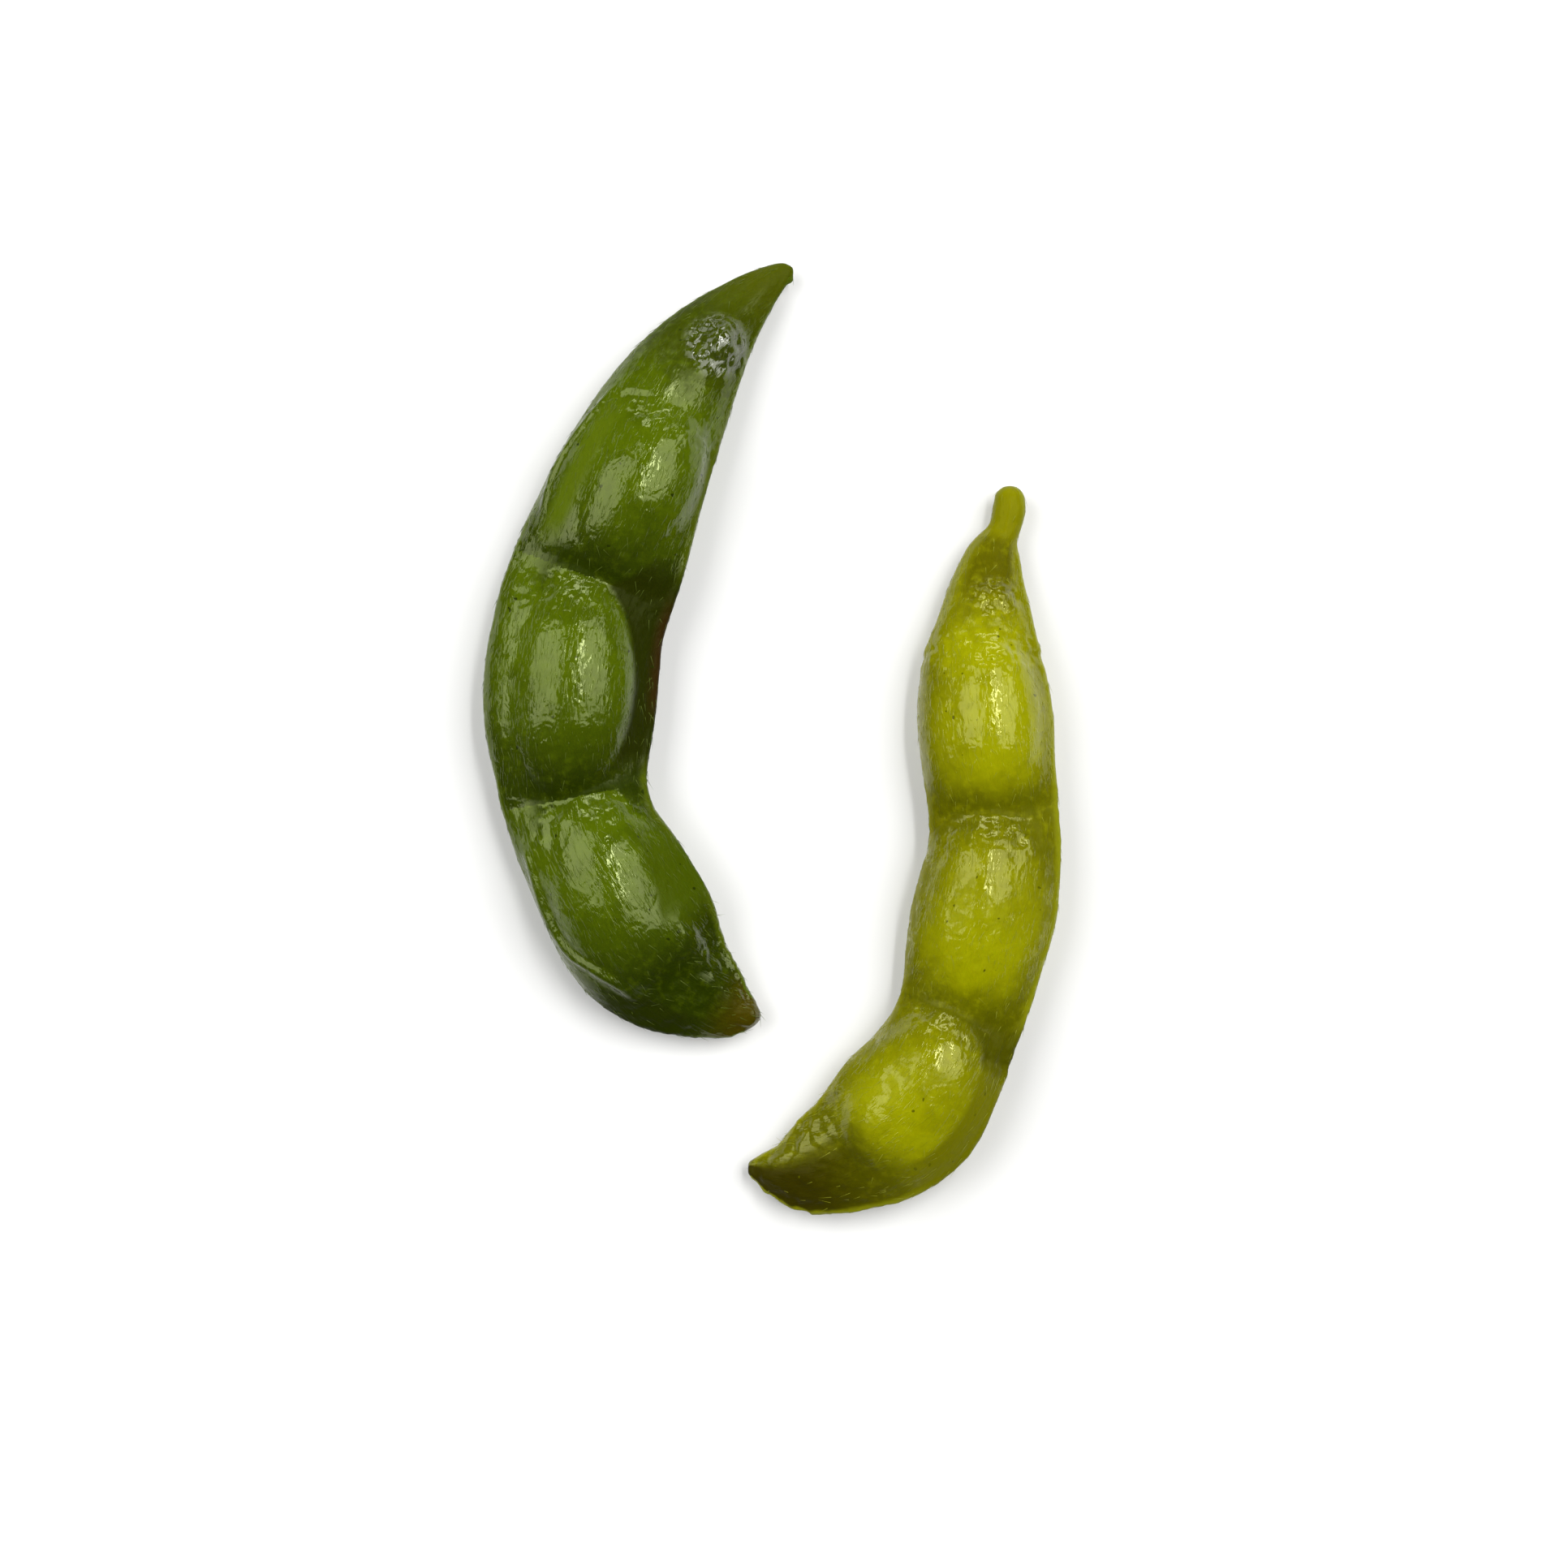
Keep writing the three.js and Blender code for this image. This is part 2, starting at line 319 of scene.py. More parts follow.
def lay_husk(name, course, beans):
    """The husk along its course, swollen where it is drawn over the beans."""
    places = []
    for number, (x, y, _, half_width, half_thickness, roll) in enumerate(course):
        swollen = max(half_thickness, *(drawn_over(bean, x, y) for bean in beans))
        section = section_frame(course, number, math.radians(roll))
        places.append(placed(*section, half_width, swollen))
    return loft(name, lens_outline(), places)


def lay_ball(name, x, y, z, radius):
    """The ball that rounds off the end of a cord."""
    bpy.ops.object.select_all(action="DESELECT")
    bpy.ops.mesh.primitive_uv_sphere_add(
        segments=BALL_POINTS,
        ring_count=BALL_POINTS // 2,
        radius=radius * MM,
        location=(x * MM, y * MM, z * MM),
    )
    ball = bpy.context.object
    ball.name = name
    bpy.ops.object.transform_apply()
    return ball


def lay_cord(name, path):
    """A round cord through rows of x, y, z and radius, with a ball on each end."""
    places = []
    for number, (_, _, _, radius) in enumerate(path):
        places.append(placed(*section_frame(path, number), radius, radius))
    cord = loft(name, round_outline(), places)
    return [cord, lay_ball(f"{name}_start", *path[0]), lay_ball(f"{name}_end", *path[-1])]


def lay_seam(name, course, side):
    """The stringy cord along one edge of the husk, just inside its outline."""
    path = []
    for number, (_, _, _, half_width, _, roll) in enumerate(course):
        middle, across, _, _ = section_frame(course, number, math.radians(roll))
        radius = min(SEAM_RADIUS, half_width * SEAM_SHARE)
        path.append((*(middle + across * side * (half_width - radius)), radius))
    return lay_cord(name, path)


def lay_fold(name, body, route, radius, sunk):
    """A fold in the husk: a cord dropped on the body, sunk in part, and wholly at its ends."""
    path = []
    spots = fill_in(route)
    for number, (x, y) in enumerate(spots):
        above = Vector((x * MM, y * MM, OVER_THE_PODS * MM))
        found, spot, _, _ = body.ray_cast(above, Vector((0, 0, -1)))
        if found:
            from_end = min(number, len(spots) - 1 - number)
            ending = max(1 - FOLD_TAPER * from_end / len(spots), 0)
            path.append((x, y, spot.z / MM - sunk - (radius - sunk) * ending, radius))
    return lay_cord(name, path)


def lay_bean(name, start, end, half_width, half_thickness, height, tipped):
    """A bean: a sphere drawn out along the pod, pressed to its thickness and tipped."""
    start = Vector(start)
    end = Vector(end)
    middle = (start + end) / 2
    heading = math.atan2(end.y - start.y, end.x - start.x)
    bpy.ops.object.select_all(action="DESELECT")
    bpy.ops.mesh.primitive_uv_sphere_add(
        segments=BEAN_POINTS,
        ring_count=BEAN_POINTS // 2,
        radius=MM,
        location=(middle.x * MM, middle.y * MM, height * MM),
        rotation=(0, math.radians(tipped), heading),
        scale=((end - start).length / 2, half_width, half_thickness),
    )
    bean = bpy.context.object
    bean.name = name
    bpy.ops.object.transform_apply()
    return bean


def melt(name, parts, voxel_size, rounds):
    """Joins the parts, remeshes them into one closed skin and relaxes it."""
    bpy.ops.object.select_all(action="DESELECT")
    for part in parts:
        part.select_set(True)
    bpy.context.view_layer.objects.active = parts[0]
    bpy.ops.object.join()
    skin = bpy.context.object
    skin.name = name
    bpy.ops.object.modifier_add(type="REMESH")
    remesh = skin.modifiers[-1]
    remesh.mode = "VOXEL"
    remesh.voxel_size = voxel_size * MM
    bpy.ops.object.modifier_apply(modifier=remesh.name)
    bpy.ops.object.modifier_add(type="SMOOTH")
    relax = skin.modifiers[-1]
    relax.factor = 0.5
    relax.iterations = rounds
    bpy.ops.object.modifier_apply(modifier=relax.name)
    return skin


def grow_pod(name, course, beans, folds, ends):
    """The beans and the husk over them, then its seams, folds and ends, melted in two goes."""
    stations = fill_in(course)
    parts = [lay_husk(name, stations, beans)]
    for number, bean in enumerate(beans):
        parts.append(lay_bean(f"{name}_bean_{number}", *bean[:6]))
    body = melt(name, parts, *COARSE_MELT)
    trims = []
    for number, fold in enumerate(folds):
        trims += lay_fold(f"{name}_fold_{number}", body, *fold)
    for side in (-1, 1):
        trims += lay_seam(f"{name}_seam_{side}", stations, side)
    for number, end in enumerate(ends):
        trims += lay_cord(f"{name}_end_{number}", fill_in(end))
    return melt(name, [body, *trims], *FINE_MELT)


def place_on_course(points, course):
    """How far along the course each point is, how far aside of it, the husk's half width there, and
    the course's whole length, all in mm."""
    path = np.array([row[:2] for row in course])
    widths = np.array([row[3] for row in course])
    legs = path[1:] - path[:-1]
    leg_lengths = np.hypot(legs[:, 0], legs[:, 1])
    starts = np.concatenate([[0], np.cumsum(leg_lengths)])
    nearest = np.full(len(points), FAR_AWAY)
    along = np.zeros(len(points))
    across = np.zeros(len(points))
    half_width = np.ones(len(points))
    for number, leg in enumerate(legs):
        offset = points - path[number]
        share = np.clip(offset @ leg / leg_lengths[number] ** 2, 0, 1)
        aside = offset - share[:, None] * leg
        distance = np.hypot(aside[:, 0], aside[:, 1])
        side = np.sign(leg[0] * offset[:, 1] - leg[1] * offset[:, 0])
        width_here = widths[number] + share * (widths[number + 1] - widths[number])
        closer = distance < nearest
        nearest[closer] = distance[closer]
        along[closer] = (starts[number] + share * leg_lengths[number])[closer]
        across[closer] = (side * distance)[closer]
        half_width[closer] = width_here[closer]
    return along, across, half_width, starts[-1]


def place_on_beans(points, beans):
    """How far up a bean each point is, how far down that bean's length from -1 at its stalk end to
    1, how far inside of a bean's footprint, where that is above 0, and how much it belongs to the
    knob of the seed that never grew."""
    upon = np.full(len(points), FAR_OFF_A_BEAN)
    down = np.zeros(len(points))
    footing = np.full(len(points), -1.0)
    knob = np.zeros(len(points))
    for (x0, y0), (x1, y1), wide, *_ in beans:
        length = math.hypot(x1 - x0, y1 - y0)
        forward = np.array([(x1 - x0) / length, (y1 - y0) / length])
        offset = points - np.array([(x0 + x1) / 2, (y0 + y1) / 2])
        lengthways = offset @ forward / (length / 2)
        sideways = (offset[:, 0] * forward[1] - offset[:, 1] * forward[0]) / wide
        footing = np.maximum(footing, 1 - lengthways**2 - sideways**2)
        if length < SHORTEST_BEAN:
            knob = np.clip(2 - 2 * lengthways**2 - sideways**2, 0, 1)
            continue
        here = 1 - lengthways**2 - (sideways / SKIN_SPREAD) ** 2
        down = np.where(here > upon, lengthways, down)
        upon = np.maximum(upon, here)
    return np.clip(upon, 0, 1), np.clip(down, -FURTHEST_DOWN, FURTHEST_DOWN), footing, knob


def chart(skin, course, beans):
    """Writes on the skin where each point is on the pod: along it from 0 at the stalk to 1 at the
    beak, across it from -1 to 1 between the seams, and its place on the beans. The UV map holds the
    place across and along in mm, and the vertex groups say where the skin is rippled."""
    points = np.empty(len(skin.data.vertices) * 3)
    skin.data.vertices.foreach_get("co", points)
    points = points.reshape(-1, 3)[:, :2] / MM
    along, across, half_width, whole_length = place_on_course(points, course)
    upon, down, footing, knob = place_on_beans(points, beans)
    along_share = along / whole_length
    readings = {
        "along": along_share,
        "across": np.clip(across / half_width, -1, 1),
        "bean": upon,
        "down": down,
        "footing": footing,
        "knob": knob,
    }
    for name, values in readings.items():
        layer = skin.data.attributes.new(name, "FLOAT", "POINT")
        layer.data.foreach_set("value", values)
    corners = np.empty(len(skin.data.loops), dtype=int)
    skin.data.loops.foreach_get("vertex_index", corners)
    husk_map = skin.data.uv_layers.new(name="husk")
    husk_map.data.foreach_set("uv", np.column_stack([across, along])[corners].ravel())

    in_crease = 1 - np.clip(upon / CREASE_RISE, 0, 1)
    at_upper_end = np.clip(1 - np.abs(down - CRUMPLED_AT) / CRUMPLED_REACH, 0, 1)
    over_bean = np.clip(2 + 2 * footing, 0, 1)
    on_beak = np.clip(BEAK_STEEPNESS * (along_share - BEAK_FROM), 0, BEAK_CRUMPLE)
    weigh(skin, "knob", knob)
    weigh(skin, "creases", np.where(along_share > CREASES_FROM, in_crease, 0))
    weigh(skin, "upper_ends", at_upper_end * over_bean + on_beak)


def weigh(skin, name, weights):
    """Makes a vertex group of the given weights, in tenths."""
    group = skin.vertex_groups.new(name=name)
    weights = np.round(weights, 1)
    for share in np.unique(weights[weights > 0]):
        group.add(np.flatnonzero(weights == share).tolist(), float(share), "REPLACE")


def ripple(skin, size, height, group=""):
    """Raises and sinks the skin by soft noise, only where a vertex group says so if one is named."""
    noise = bpy.data.textures.new(f"{skin.name}_ripple", "CLOUDS")
    noise.noise_scale = size * MM
    noise.noise_depth = 1
    bpy.ops.object.modifier_add(type="DISPLACE")
    displace = skin.modifiers[-1]
    displace.texture = noise
    displace.texture_coords = "LOCAL"
    displace.strength = height * MM
    displace.mid_level = 0.5
    displace.vertex_group = group
    bpy.ops.object.modifier_apply(modifier=displace.name)


def settle(skin):
    """Brings the skin to its place in the pair and presses its lowest points flat on the table."""
    points = np.empty(len(skin.data.vertices) * 3)
    skin.data.vertices.foreach_get("co", points)
    points = points.reshape(-1, 3)
    points[:, :2] += np.array(BUNDLE_SHIFT) * MM
    points[:, 2] = np.maximum(points[:, 2], 0.0)
    skin.data.vertices.foreach_set("co", points.ravel())
    skin.data.update()


def finish_form(skin, node, course, beans, crumple):
    """Ripples the skin and settles it. Crumple is the height of the ripples over the beans."""
    chart(skin, fill_in(course), beans)
    ripple(skin, *ALL_OVER_RIPPLE)
    ripple(skin, *CREASE_RIPPLE, "creases")
    ripple(skin, CRUMPLE_SIZE, crumple, "upper_ends")
    ripple(skin, *KNOB_FOLDS, "knob")
    ripple(skin, *KNOB_WRINKLES, "knob")
    settle(skin)
    bpy.ops.object.shade_smooth()
    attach(skin, "root")
    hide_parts(node)


dark_ends = [DARK_STALK, DARK_BEAK]
dark_pod = grow_pod("dark_pod_skin", DARK_COURSE, DARK_BEANS, DARK_FOLDS, dark_ends)
finish_form(dark_pod, "dark_green_pod", DARK_COURSE, DARK_BEANS, crumple=0.3)


# ---- The light green pod: its form -------------------------------------------------------------
# Its neighbour is a slimmer, yellower pod, grown the same way. It keeps a short round stub of its
# stalk, has no folds, and its skin has crumpled more over the beans.

LIGHT_COURSE = [
    # as the dark pod's course
    (19.2, 19.8, 2.2, 0.7, 0.7, 0),
    (19.0, 18.4, 2.2, 1.2, 1.2, 0),
    (18.45, 16.7, 2.3, 1.35, 1.25, 0),
    (17.8, 15.0, 2.5, 2.25, 1.6, 0),
    (17.3, 12.4, 2.95, 3.1, 2.0, 1),
    (17.1, 9.5, 3.6, 3.95, 2.5, 2),
    (16.85, 5.9, 4.1, 5.0, 2.8, 4),
    (17.0, 2.0, 4.2, 5.5, 2.8, 5),
    (17.3, -1.9, 4.2, 5.4, 2.7, 5),
    (17.7, -5.8, 4.3, 5.25, 1.9, 5),
    (17.7, -9.2, 4.5, 5.4, 2.6, 5),
    (17.1, -12.9, 4.3, 5.8, 2.8, 5),
    (16.3, -16.5, 4.1, 5.7, 2.8, 5),
    (15.6, -20.0, 4.0, 5.3, 2.6, 5),
    (14.5, -23.3, 4.3, 5.15, 1.9, 5),
    (12.9, -26.5, 4.4, 5.65, 2.6, 5),
    (11.0, -29.3, 4.2, 6.2, 2.7, 4),
    (8.4, -31.7, 3.9, 5.8, 2.4, 3),
    (5.5, -33.4, 3.4, 4.75, 2.1, 3),
    (2.4, -34.6, 2.8, 3.6, 1.7, 2),
    (-0.1, -34.7, 2.3, 1.85, 1.4, 0),
    (-1.5, -34.4, 2.0, 0.7, 0.9, 0),
]
LIGHT_BEANS = [
    # as the dark pod's beans
    ((17.0, 9.3), (17.6, -6.9), 4.5, 4.4, 4.25, 2, 0.94),
    ((17.8, -4.9), (15.0, -23.4), 4.6, 4.4, 4.2, 5, 0.9),
    ((16.0, -21.6), (6.4, -34.8), 5.0, 4.4, 4.2, 5, 0.9),
    ((18.0, 13.2), (17.6, 9.6), 1.7, 2.1, 3.4, -8, 0.3),
]
LIGHT_STALK = [
    # as the dark pod's stalk
    (18.4, 15.9, 2.3, 1.15),
    (18.8, 17.4, 2.2, 1.3),
    (19.05, 18.6, 2.2, 1.38),
    (19.1, 19.4, 2.2, 1.28),
]

light_pod = grow_pod("light_pod_skin", LIGHT_COURSE, LIGHT_BEANS, folds=[], ends=[LIGHT_STALK])
finish_form(light_pod, "light_green_pod", LIGHT_COURSE, LIGHT_BEANS, crumple=0.42)


# ---- The pods' skin ----------------------------------------------------------------------------
# Boiled green skin with a wet gloss, a little translucent: light over the beans, darker in the
# creases, partly its own colour there and partly painted shade, with painted shade on the beans'
# lower sides, on the flanks and in some hollows beside the beans, browning here and there along the
# seams and on the beaks, with dull scraps where it has dried and a fine unevenness that frays the
# edges of the gloss.

NOISES = {
    # what each noise is laid on, body for the skin in space or husk for its UV map, both in mm, and
    # its stretch, size, detail, roughness and distortion
    "blotches": ("body", (1, 1, 1), 0.35, 4, 0.55, 0.0),
    "flecks": ("body", (1, 1, 1), 1.3, 3, 0.6, 0.0),
    "fibres": ("husk", (3.2, 0.42, 1), 1.0, 5, 0.6, 0.4),
    "specks": ("body", (1, 1, 1), 1.7, 0, 0.5, 0.0),
    "scraps": ("body", (1, 1, 1), 0.55, 5, 0.65, 0.5),
    "dents": ("body", (1, 1, 1), 0.8, 2, 0.5, 0.4),
    "grit": ("husk", (2.4, 1.2, 1), 1.0, 1, 0.5, 0.6),
    "strokes": ("husk", (4.5, 0.8, 1), 1.0, 1, 0.5, 1.0),
}
MEAN_NOISE = 0.5
BLOTCHED_RISE = 0.3  # how much the blotches fray the edges of what follows the beans' rise
FLECKED_FOOTING = 1.0
FLECKED_LENGTH = 0.06

# Each pair gives the two readings between which something fades in.
UPPER_RIM = (-0.2, -0.6)  # down a bean, from -1 at its stalk end to 1
UPPER_HALF = (0.3, -0.4)
RIM_FOOTING = (-0.12, 0.1)  # over a bean's footprint
DULL_RISE = (0.5, 0.28)  # up a bean
FIRST_BEAN_END = (0.32, 0.44)  # along the pod
WET_BEAK_START = (0.82, 0.86)
RIGHT_SEAM = (0.86, 0.97)  # across the pod
LEFT_SEAM = (0.9, 0.99)
BLOTCH_FADE = (0.52, 0.34)  # of the noise of that name, as are those that follow
FLECK_FADE = (0.45, 0.8)
FIBRE_FADE = (0.4, 0.8)
SPECK_FADE = (0.83, 0.85)
SCRAP_FADE = (0.45, 0.53)
STROKE_FADE = (0.52, 0.72)

SHADE_END = 1.05  # where down a bean its lower side is in full shade
BROWNED_AND_SHADED_ACROSS_FADE = 0.15  # over how much of each reading a stretch of browning or of painted shade fades out
BROWNED_AND_SHADED_ALONG_FADE = 0.05
BROWNED_AND_SHADED_RISE_FADE = 0.2
BLOTCH_DEPTH = 0.25  # how strongly each layer of colour is laid
FLECK_DEPTH = 0.25
FIBRE_DEPTH = 0.09
BEAK_WETNESS = 1.2
GRIT_HEIGHT = 0.26  # as shares of the dents' height
STROKE_HEIGHT = 0.17
RELIEF_HEIGHT = 0.0001
WET_ROUGHNESS = 0.1
DULL_ROUGHNESS = 0.3
DULL_GLOSS = 0.04
SKIN_IOR = 1.5
GLOW_THROUGH = 0.25
GLOW_COLOURS = (0.6, 1.0, 0.1)
GLOW_DEPTH = 0.0012


def add_node(tree, kind, **settings):
    """Adds a shader node and sets its options and its inputs by name."""
    added = tree.nodes.new(kind)
    for key, value in settings.items():
        if hasattr(added, key):
            setattr(added, key, value)
        else:
            added.inputs[key.replace("_", " ")].default_value = value
    return added


def feed(tree, socket, value):
    """Links a socket to another or sets its value."""
    if isinstance(value, bpy.types.NodeSocket):
        tree.links.new(value, socket)
    else:
        socket.default_value = value


def reckon(tree, operation, first, second=0.0):
    """A sum on two values, each a number or a socket. One value is enough for some operations."""
    answer = add_node(tree, "ShaderNodeMath", operation=operation)
    feed(tree, answer.inputs[0], first)
    feed(tree, answer.inputs[1], second)
    return answer.outputs[0]


def times(tree, first, *others):
    """Values multiplied by one another."""
    product = first
    for other in others:
        product = reckon(tree, "MULTIPLY", product, other)
    return product


def highest(tree, first, *others):
    """The highest of some values."""
    best = first
    for other in others:
        best = reckon(tree, "MAXIMUM", best, other)
    return best


def measure(tree, source, low, high):
    """A value turned into 0 to 1 between two limits, smoothly."""
    ramp = add_node(
        tree, "ShaderNodeMapRange", interpolation_type="SMOOTHSTEP", From_Min=low, From_Max=high
    )
    tree.links.new(source, ramp.inputs["Value"])
    return ramp.outputs["Result"]


def within(tree, source, start, end, fade):
    """1 between two limits and 0 outside them."""
    begun = measure(tree, source, start, start + fade)
    return times(tree, begun, measure(tree, source, end, end - fade))


def frayed(tree, source, noise, depth):
    """A value made uneven by a noise."""
    swing = times(tree, reckon(tree, "SUBTRACT", noise, MEAN_NOISE), depth)
    return reckon(tree, "ADD", source, swing)


def spread(tree, amount, low, high, clamp):
    """A value between two others by an amount from 0 to 1, past which it is clamped or runs on."""
    ramp = add_node(tree, "ShaderNodeMapRange", To_Min=low, To_Max=high, clamp=clamp)
    tree.links.new(amount, ramp.inputs["Value"])
    return ramp.outputs["Result"]


def tint(tree, amount, under, over):
    """One colour laid over another by an amount. All three are values or sockets."""
    mix = tree.nodes.new("ShaderNodeMix")
    mix.data_type = "RGBA"
    feed(tree, mix.inputs[0], amount)
    feed(tree, mix.inputs[6], under)
    feed(tree, mix.inputs[7], over)
    return mix.outputs[2]


def mottle(tree, coordinates, stretch, size, detail, roughness=0.5, distortion=0.0):
    """Noise on the given coordinates, stretched by three factors."""
    mapping = add_node(tree, "ShaderNodeMapping", Scale=stretch)
    tree.links.new(coordinates, mapping.inputs["Vector"])
    noise = add_node(
        tree,
        "ShaderNodeTexNoise",
        Scale=size,
        Detail=detail,
        Roughness=roughness,
        Distortion=distortion,
    )
    tree.links.new(mapping.outputs["Vector"], noise.inputs["Vector"])
    return noise.outputs["Fac"]


def colour(red, green, blue):
    """A colour given by its screen values, 0 to 255, as the light values that a shader takes."""
    steps = (red / 255, green / 255, blue / 255)
    return (*(c / 12.92 if c <= 0.04045 else ((c + 0.055) / 1.055) ** 2.4 for c in steps), 1)


def find_marks(tree, tones):
    """What the skin's colour and gloss are worked out from: each point's place on the pod, as the
    form wrote it there, the noises, and the parts of the pod that several layers share."""
    marks = SimpleNamespace()
    for reading in ("along", "across", "bean", "down", "footing", "knob"):
        attribute = add_node(tree, "ShaderNodeAttribute", attribute_name=reading)
        setattr(marks, reading, attribute.outputs["Fac"])
    places = add_node(tree, "ShaderNodeTexCoord")
    in_mm = add_node(tree, "ShaderNodeMapping", Scale=(1 / MM, 1 / MM, 1 / MM))
    tree.links.new(places.outputs["Object"], in_mm.inputs["Vector"])
    husk_map = add_node(tree, "ShaderNodeUVMap", uv_map="husk")
    grounds = {"body": in_mm.outputs["Vector"], "husk": husk_map.outputs["UV"]}
    for noise, (ground, *pattern) in NOISES.items():
        setattr(marks, noise, mottle(tree, grounds[ground], *pattern))

    footing = frayed(tree, marks.footing, marks.flecks, FLECKED_FOOTING)
    along = frayed(tree, marks.along, marks.flecks, FLECKED_LENGTH)
    on_footing = measure(tree, footing, *RIM_FOOTING)
    neck_middle = measure(tree, reckon(tree, "ABSOLUTE", marks.across), *tones["neck_width"])
    marks.raised = frayed(tree, marks.bean, marks.blotches, BLOTCHED_RISE)
    marks.upper_rim = times(tree, measure(tree, marks.down, *UPPER_RIM), on_footing)
    marks.neck = times(tree, within(tree, along, *tones["neck_band"]), neck_middle)
    marks.beyond_neck = measure(tree, marks.along, *tones["neck_reach"])
    marks.beyond_first_bean = measure(tree, marks.along, *FIRST_BEAN_END)
    marks.slack_side = measure(tree, marks.across, *tones["slack_side"])
    marks.browned = [find_browned(tree, marks, *row) for row in tones["browned"]]
    return marks


def find_browned(tree, marks, start, end, side, inner, outer, clear, brown):
    """How much of one stretch, of browning or of painted shade, is at each point, and its colour."""
    outward = times(tree, marks.across, side)
    band = within(tree, outward, inner, outer, BROWNED_AND_SHADED_ACROSS_FADE)
    beside_beans = measure(tree, marks.footing, clear + BROWNED_AND_SHADED_RISE_FADE, clear)
    lengthways = within(tree, marks.along, start, end, BROWNED_AND_SHADED_ALONG_FADE)
    return times(tree, lengthways, times(tree, beside_beans, band)), brown


def skin_green(tree, marks, tones):
    """The skin's colour: the light green over the beans, with one layer after another over it,
    painted shade among them.
    """
    rim = times(tree, marks.upper_rim, tones["rim_lightness"])
    slack = measure(tree, marks.raised, *tones["crease_shade_rise"])
    slack = times(tree, slack, marks.beyond_neck, marks.slack_side)
    shaded_half = times(tree, measure(tree, marks.down, *UPPER_HALF), marks.beyond_first_bean)
    flanks = measure(tree, times(tree, marks.across, marks.across), *tones["flank_squared"])
    beak = measure(tree, marks.along, *tones["beak_reach"])
    beak = times(tree, beak, measure(tree, marks.across, *tones["beak_side"]))
    lower_half = measure(tree, marks.down, tones["shade_from"], SHADE_END)
    layers = [
        # how much of each layer there is at each point, its colour, and its depth
        # painted shade in the creases, over the skin's own darker colour there, sparing the upper
        # rims that face the light
        (times(tree, slack, reckon(tree, "SUBTRACT", 1.0, rim)), "dark_skin_and_crease_shade", 1.0),
        (marks.neck, "neck", 1.0),
        # painted shade on the beans' lower sides and on the flanks, and the later beans' upper
        # halves darkened; the blotches are the skin's own mottling laid in the same colour
        (lower_half, "shade", tones["shade_depth"]),
        (shaded_half, "shade", tones["upper_depth"]),
        (flanks, "shade", tones["flank_depth"]),
        (measure(tree, marks.blotches, *BLOTCH_FADE), "shade", BLOTCH_DEPTH),
        (measure(tree, marks.flecks, *FLECK_FADE), "fleck", FLECK_DEPTH),
        (measure(tree, marks.fibres, *FIBRE_FADE), "dark_skin_and_crease_shade", FIBRE_DEPTH),
        (measure(tree, marks.along, *tones["stalk_reach"]), "stalk", 1.0),
        (beak, "beak", 1.0),
        (measure(tree, marks.across, *RIGHT_SEAM), "right_seam", 1.0),
        (measure(tree, times(tree, marks.across, -1), *LEFT_SEAM), "left_seam", 1.0),
    ]
    green = tones["bean"]
    for amount, tone, depth in layers:
        green = tint(tree, times(tree, amount, depth), green, tones[tone])
    for amount, brown in marks.browned:
        green = tint(tree, amount, green, brown)
    return tint(tree, measure(tree, marks.specks, *SPECK_FADE), green, tones["dark_skin_and_crease_shade"])


def skin_dullness(tree, marks, tones):
    """How dull the skin is, from 0 where it is wet and taut to 1 where it has dried or slackened.
    It runs below 0 where the skin is wettest."""
    slack = measure(tree, marks.raised, *DULL_RISE)
    slack = times(tree, slack, marks.beyond_neck, marks.slack_side)
    dry = measure(tree, marks.scraps, *SCRAP_FADE)
    dry = times(tree, dry, tones["dryness"], marks.beyond_first_bean)
    extra_wetness = times(tree, marks.beyond_first_bean, tones["rim_wetness"])
    wet_rim = times(tree, marks.upper_rim, reckon(tree, "ADD", 1.0, extra_wetness))
    side, inner, outer = tones["wet_beak"]
    wet_beak = measure(tree, times(tree, marks.across, side), inner, outer)
    wet_beak = times(tree, wet_beak, BEAK_WETNESS, measure(tree, marks.along, *WET_BEAK_START))
    dull_neck = times(tree, marks.neck, measure(tree, marks.across, *tones["dull_neck_side"]))
    stalk = measure(tree, marks.along, *tones["stalk_reach"])
    browned = [amount for amount, _ in marks.browned]

    dull = highest(tree, slack, dry)
    dull = reckon(tree, "SUBTRACT", dull, wet_rim)
    dull = reckon(tree, "SUBTRACT", dull, wet_beak)
    dull = highest(tree, dull, dull_neck, stalk, *browned)
    return reckon(tree, "SUBTRACT", dull, marks.knob)


def skin_relief(tree, marks):
    """The skin's fine unevenness: dents, grit and strokes along the fibres."""
    strokes = measure(tree, marks.strokes, *STROKE_FADE)
    relief = reckon(tree, "ADD", marks.dents, times(tree, marks.grit, GRIT_HEIGHT))
    relief = reckon(tree, "ADD", relief, times(tree, strokes, STROKE_HEIGHT))
    bump = add_node(tree, "ShaderNodeBump", Strength=1.0, Distance=RELIEF_HEIGHT)
    tree.links.new(relief, bump.inputs["Height"])
    return bump.outputs["Normal"]


